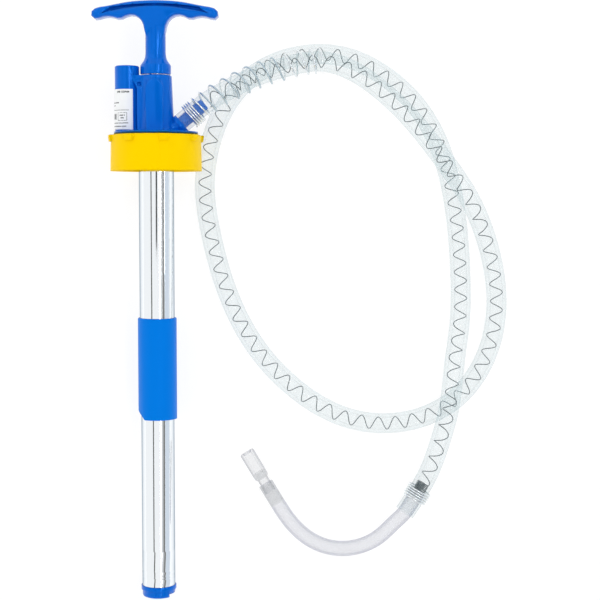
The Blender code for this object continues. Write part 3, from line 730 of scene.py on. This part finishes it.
@dataclass
class Label:
    """The printed label wrapped round the nozzle holder."""

    axis: PumpAxis
    centre_x: float = -26.5
    radius: float = 11.7
    thickness: float = 0.3
    low: float = 441.0
    high: float = 477.9
    start: float = math.radians(110.0)
    end: float = math.radians(302.0)
    columns: int = 49

    def build(self, paper: bpy.types.Material) -> None:
        """Build the label as a thin curved sheet with a map in millimetres."""
        angles = np.linspace(self.start, self.end, self.columns)
        rows = []
        for radius in (self.radius + self.thickness, self.radius):
            for height in (self.low, self.high):
                rows.append([self.axis.at(self.centre_x + radius * math.cos(angle),
                                          radius * math.sin(angle), height) for angle in angles])
        points = np.array(rows).reshape(-1, 3)
        last = self.columns - 1
        corner = [index * self.columns for index in range(4)]
        outer_low, outer_high, inner_low, inner_high = corner
        faces = []
        for index in range(last):
            for first, second in ((outer_low, outer_high), (outer_high, inner_high),
                                  (inner_high, inner_low), (inner_low, outer_low)):
                faces.append((first + index, first + index + 1, second + index + 1, second + index))
        faces.append((outer_low, outer_high, inner_high, inner_low))
        faces.append(tuple(at + last for at in (inner_low, inner_high, outer_high, outer_low)))
        piece = make_piece("holder_label", points, faces, paper, PUMP_BODY)
        map_mm = piece.data.uv_layers.new(name="label_mm")
        for loop in piece.data.loops:
            row, column = divmod(loop.vertex_index, self.columns)
            height = self.high if row % 2 else self.low
            map_mm.data[loop.index].uv = ((angles[column] - self.start) * self.radius,
                                          height - self.low)
        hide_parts("side_label")


@dataclass
class Studio:
    """Camera, table, cards and lights, with lengths in metres."""

    camera_place: tuple[float, float, float] = (0.1333, 0.0021, 1.40)
    lens_mm: float = 87.8
    table_size: float = 6.0
    card_distance: float = 1.5
    sensor_mm: float = 36.0
    room_strength: float = 0.95
    clear_layers: int = 40
    table_drop: float = 0.0002
    table_glow: float = 0.82
    lamp_target: tuple[float, float, float] = (0.1, 0.0, 0.0)

    def build(self) -> None:
        """Set up the whole studio."""
        scene = bpy.context.scene
        scene.view_settings.view_transform = "Standard"
        scene.view_settings.look = "None"
        scene.cycles.transparent_max_bounces = self.clear_layers
        camera_data = bpy.data.cameras.new("camera")
        camera_data.lens = self.lens_mm
        camera_data.sensor_width = self.sensor_mm
        camera = bpy.data.objects.new("camera", camera_data)
        camera.location = self.camera_place
        scene.collection.objects.link(camera)
        scene.camera = camera
        world = bpy.data.worlds.new("white_room")
        world.use_nodes = True
        room = world.node_tree.nodes["Background"]
        room.inputs["Color"].default_value = linear("#FFFFFF")
        room.inputs["Strength"].default_value = self.room_strength
        scene.world = world
        items = [camera, self.table()]
        items.append(self.card("dark_card_left", "#4A4A4A", -31.0, 0.17, 17.0))
        items.append(self.card("dark_card_over", "#464646", 3.0, 0.24, middle=0.71, reach=0.8))
        items.append(self.card("strip_light", "#FFFFFF", 23.0, 0.07, strength=7.0))
        items.append(self.card("white_card_right", "#E2E2E2", 32.5, 0.18))
        items.append(self.card("pale_card_right", "#BEBEBE", 39.5, 0.18))
        items.append(self.card("grey_card_right", "#8C8C8C", 46.0, 0.16))
        items.append(self.card("dark_card_right", "#646464", 51.6, 0.14))
        items.append(self.card("blue_card_right", "#D6DEE8", 73.0, 0.90))
        items.append(self.softbox("key_light", (-0.9, 0.8, 1.3), 0.9, 2.0))
        items.append(self.softbox("fill_light", (1.1, 0.3, 1.2), 1.0, 20.0))

    def table(self) -> bpy.types.Object:
        """Make the pale table top."""
        half = self.table_size / 2.0
        mesh = bpy.data.meshes.new("table_top")
        mesh.from_pydata([(-half, -half, 0.0), (half, -half, 0.0), (half, half, 0.0),
                          (-half, half, 0.0)], [], [(0, 1, 2, 3)])
        material, _ = new_material("white_paper_sweep", {
            "Base Color": linear("#808080"), "Roughness": 0.9,
            "Emission Color": (1.0, 1.0, 1.0, 1.0), "Emission Strength": self.table_glow})
        mesh.materials.append(material)
        table = bpy.data.objects.new("table_top", mesh)
        table.location.z = -self.table_drop
        bpy.context.scene.collection.objects.link(table)
        return table

    def card(self, name: str, colour: str, lean: float, width: float, slant: float = 0.0,
             strength: float = 1.0, middle: float = 0.0, reach: float = 1.6) -> bpy.types.Object:
        """Make a long card beside the camera that the chrome reflects as a line.

        Args:
            name: Its name.
            colour: The colour it is seen in.
            lean: Its angle from straight up, in degrees, towards +X.
            width: Its width in metres.
            slant: How far it is turned out of the pump's direction, in degrees.
            strength: How many times brighter than white paper it is.
            middle: Where its middle is along Y, in metres.
            reach: Half its length in metres.

        Returns:
            The object.
        """
        half = width / 2.0
        mesh = bpy.data.meshes.new(name)
        mesh.from_pydata([(-half, -reach, 0.0), (half, -reach, 0.0), (half, reach, 0.0),
                          (-half, reach, 0.0)], [], [(0, 1, 2, 3)])
        material, shader = new_material(name, {
            "Base Color": (0.0, 0.0, 0.0, 1.0), "Roughness": 1.0, "Specular IOR Level": 0.0,
            "Emission Color": linear(colour), "Emission Strength": strength})
        mesh.materials.append(material)
        card = bpy.data.objects.new(name, mesh)
        angle = math.radians(lean)
        card.location = (self.card_distance * math.sin(angle), middle,
                         self.card_distance * math.cos(angle))
        card.rotation_euler = (0.0, angle, math.radians(slant))
        card.visible_camera = False
        bpy.context.scene.collection.objects.link(card)
        return card

    def softbox(self, name: str, place: tuple[float, float, float], size: float,
                power: float) -> bpy.types.Object:
        """Make a square area light that looks at the pump."""
        data = bpy.data.lights.new(name, "AREA")
        data.size = size
        data.energy = power
        lamp = bpy.data.objects.new(name, data)
        lamp.location = place
        target = Vector(self.lamp_target)
        lamp.rotation_euler = (target - Vector(place)).to_track_quat("-Z", "Y").to_euler()
        bpy.context.scene.collection.objects.link(lamp)
        return lamp


HOSE_ROUTE: Route = (
    (24.3, 166.3, 45.1),
    (34.6, 175.0, 45.7),
    (45.0, 183.6, 46.3),
    (68.0, 197.8, 42.5),
    (89.5, 209.8, 35.2),
    (120.3, 220.2, 32.0),
    (152.0, 225.3, 31.9),
    (180.0, 218.5, 26.9),
    (210.5, 198.8, 23.8),
    (239.0, 170.8, 25.2),
    (270.0, 130.3, 29.4),
    (292.8, 96.9, 24.6),
    (309.5, 60.8, 13.0),
    (320.0, 4.8, 9.5),
    (308.5, -54.7, 9.5),
    (277.0, -94.7, 9.5),
    (226.0, -114.2, 9.5),
    (173.5, -108.2, 9.5),
    (129.5, -82.7, 9.5),
    (91.0, -41.7, 9.5),
    (65.5, 6.8, 9.5),
    (49.0, 63.8, 9.5),
    (43.0, 106.8, 9.5),
    (49.5, 155.3, 9.5),
    (68.0, 194.3, 9.5),
    (96.0, 220.3, 9.5),
    (132.0, 233.8, 9.5),
    (172.0, 233.8, 9.5),
    (210.0, 217.3, 9.5),
    (246.5, 183.3, 9.5),
    (266.0, 147.8, 9.5),
    (279.0, 98.3, 9.5),
    (285.5, 30.8, 9.5),
    (284.5, -20.7, 13.0),
    (278.5, -58.2, 23.5),
    (273.5, -96.2, 29.7),
    (267.0, -125.2, 23.0),
    (254.0, -163.7, 14.3),
    (232.5, -199.2, 12.6),
)
NOZZLE_ROUTE: Route = (
    (223.3, -208.5, 11.4),
    (207.4, -223.3, 9.6),
    (177.5, -234.2, 7.6),
    (148.1, -228.5, 7.2),
    (124.1, -208.7, 7.2),
    (111.4, -190.1, 7.2),
    (100.6, -172.5, 7.2),
)
NOZZLE_TIP_END = (82.4, -142.4, 7.2)

BLUE_GLOSS = Plastic("polypropylene_moulded_blue_gloss", "#0064CE", 0.12, 1.2, 0.006, 1.0, "#4C9AFF")
BLUE_SATIN = Plastic("polypropylene_turned_blue_satin", "#0079E0", 0.42, 0.5, 0.010, 0.2, "#5AA9FF")
YELLOW = Plastic("polyethylene_moulded_yellow", "#FFD300", 0.40, 1.0, 0.006, 0.08, "#FFDC40")
RUBBER = Plastic("nitrile_rubber_moulded_black", "#16171A", 0.65)
ACETAL = Plastic("acetal_turned_white", "#E9E9E4", 0.40)
CHROME = Metal("steel_tube_chrome_plated", "#F5F9FC", 0.07, "#93A2B0")
WIRE = Metal("spring_steel_wire_drawn", "#5E6062", 0.30)
BRIGHT_WIRE = Metal("spring_steel_wire_nickel_plated", "#E6EBED", 0.16)
PALE_WIRE = Metal("spring_steel_wire_zinc_plated", "#BCCBD2", 0.40)
VEILED_WIRE = ClearPlastic("spring_steel_wire_veiled", "#B9C8CE", 0.22, 0.30, 0.40, 2.0)
ZINC = Metal("steel_zinc_plated", "#9EA2A6", 0.35)
HOSE_WALL = ClearPlastic("pvc_hose_extruded_clear", "#BCD4D8", 0.14, 0.34, 0.12, 2.0)
HOSE_BORE = ClearPlastic("pvc_hose_bore_clear", "#A9BFC3", 0.0, 0.12, 0.12, 2.0)
NOZZLE_WALL = ClearPlastic("pvc_tube_bent_clear", "#A0A4B8", 0.15, 0.66, 0.12, 1.4)
NOZZLE_BORE = ClearPlastic("pvc_tube_bore_clear", "#8E92A4", 0.0, 0.60, 0.12, 5.0)
NOZZLE_FROST = ClearPlastic("pvc_tube_push_fit_cloudy", "#B4B7BC", 0.34, 0.60, 0.25, 2.0)
NOZZLE_END = ClearPlastic("pvc_tip_turned_clear", "#8F93A0", 0.09, 0.90, 0.12, 2.0)

INSIDE_FINISHES = {
    ZINC: ("gland_retainer", "cap_retaining_ring", "foot_stop_pin", "valve_stop_washer",
           "piston_nut", "handle_pin"),
    RUBBER: ("gland_seal", "barrel_seal", "drum_gasket", "sleeve_seal", "foot_seal",
             "piston_cup_seal", "piston_valve_disc", "rod_bumper"),
    ACETAL: ("rod_guide_bush", "piston_body", "foot_valve_ball"),
}
SKIN_FINISHES = {
    BLUE_GLOSS: (("pump_head", "head_skin"), ("t_handle", "handle_skin"),
                 ("foot_valve_body", "foot_skin")),
    BLUE_SATIN: (("tube_sleeve", "sleeve_skin"),),
    YELLOW: (("drum_cap", "cap_skin"),),
    CHROME: (("barrel_tube", "barrel_skin"), ("suction_tube", "suction_skin"),
             ("piston_rod", "rod_skin")),
}


def dress_nodes(nodes: dict[str, bpy.types.Object]) -> None:
    """Give every node of the frame that stays visible its finish.

    Args:
        nodes: The frame's nodes by name.
    """
    for finish, names in INSIDE_FINISHES.items():
        material = finish.make()
        for name in names:
            mesh = nodes[name].data
            mesh.materials.clear()
            mesh.materials.append(material)


def skin_nodes(nodes: dict[str, bpy.types.Object]) -> None:
    """Replace the nodes that show with smooth-shaded pieces of the same shape.

    Args:
        nodes: The frame's nodes by name.
    """
    for finish, pairs in SKIN_FINISHES.items():
        material = finish.make()
        for name, skin in pairs:
            work = bmesh.new()
            work.from_mesh(nodes[name].data)
            bmesh.ops.remove_doubles(work, verts=work.verts, dist=SAME_PLACE)
            mesh = bpy.data.meshes.new(skin)
            work.to_mesh(mesh)
            work.free()
            mesh.materials.clear()
            mesh.materials.append(material)
            mesh.shade_smooth()
            mesh.set_sharp_from_angle(angle=SKIN_SHARP)
            piece = bpy.data.objects.new(skin, mesh)
            bpy.context.scene.collection.objects.link(piece)
            even = piece.modifiers.new("even_normals", "WEIGHTED_NORMAL")
            even.keep_sharp = True
            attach(piece, nodes[name]["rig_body"])
            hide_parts(name)


def main() -> None:
    """Load the frame, dress it, add the soft and swept pieces, and light it."""
    logging.basicConfig(level=logging.INFO, format="%(name)s %(message)s")
    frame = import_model()
    dress_nodes(frame["nodes"])
    skin_nodes(frame["nodes"])
    axis = PumpAxis.from_joints(frame["joints"], CAP_JOINT_HEIGHT)
    Label(axis).build(PrintedLabel().make())
    hose = Hose(HOSE_ROUTE)
    nozzle = Nozzle(NOZZLE_ROUTE, NOZZLE_TIP_END)
    nozzle.build(hose.line, NOZZLE_WALL.make(), NOZZLE_END.make(), NOZZLE_FROST.make(),
                 NOZZLE_BORE.make())
    hose.build(HOSE_WALL.make(), WIRE.make(), BRIGHT_WIRE.make(), PALE_WIRE.make(),
               VEILED_WIRE.make(), HOSE_BORE.make())
    Studio().build()


if __name__ == "__main__":
    main()
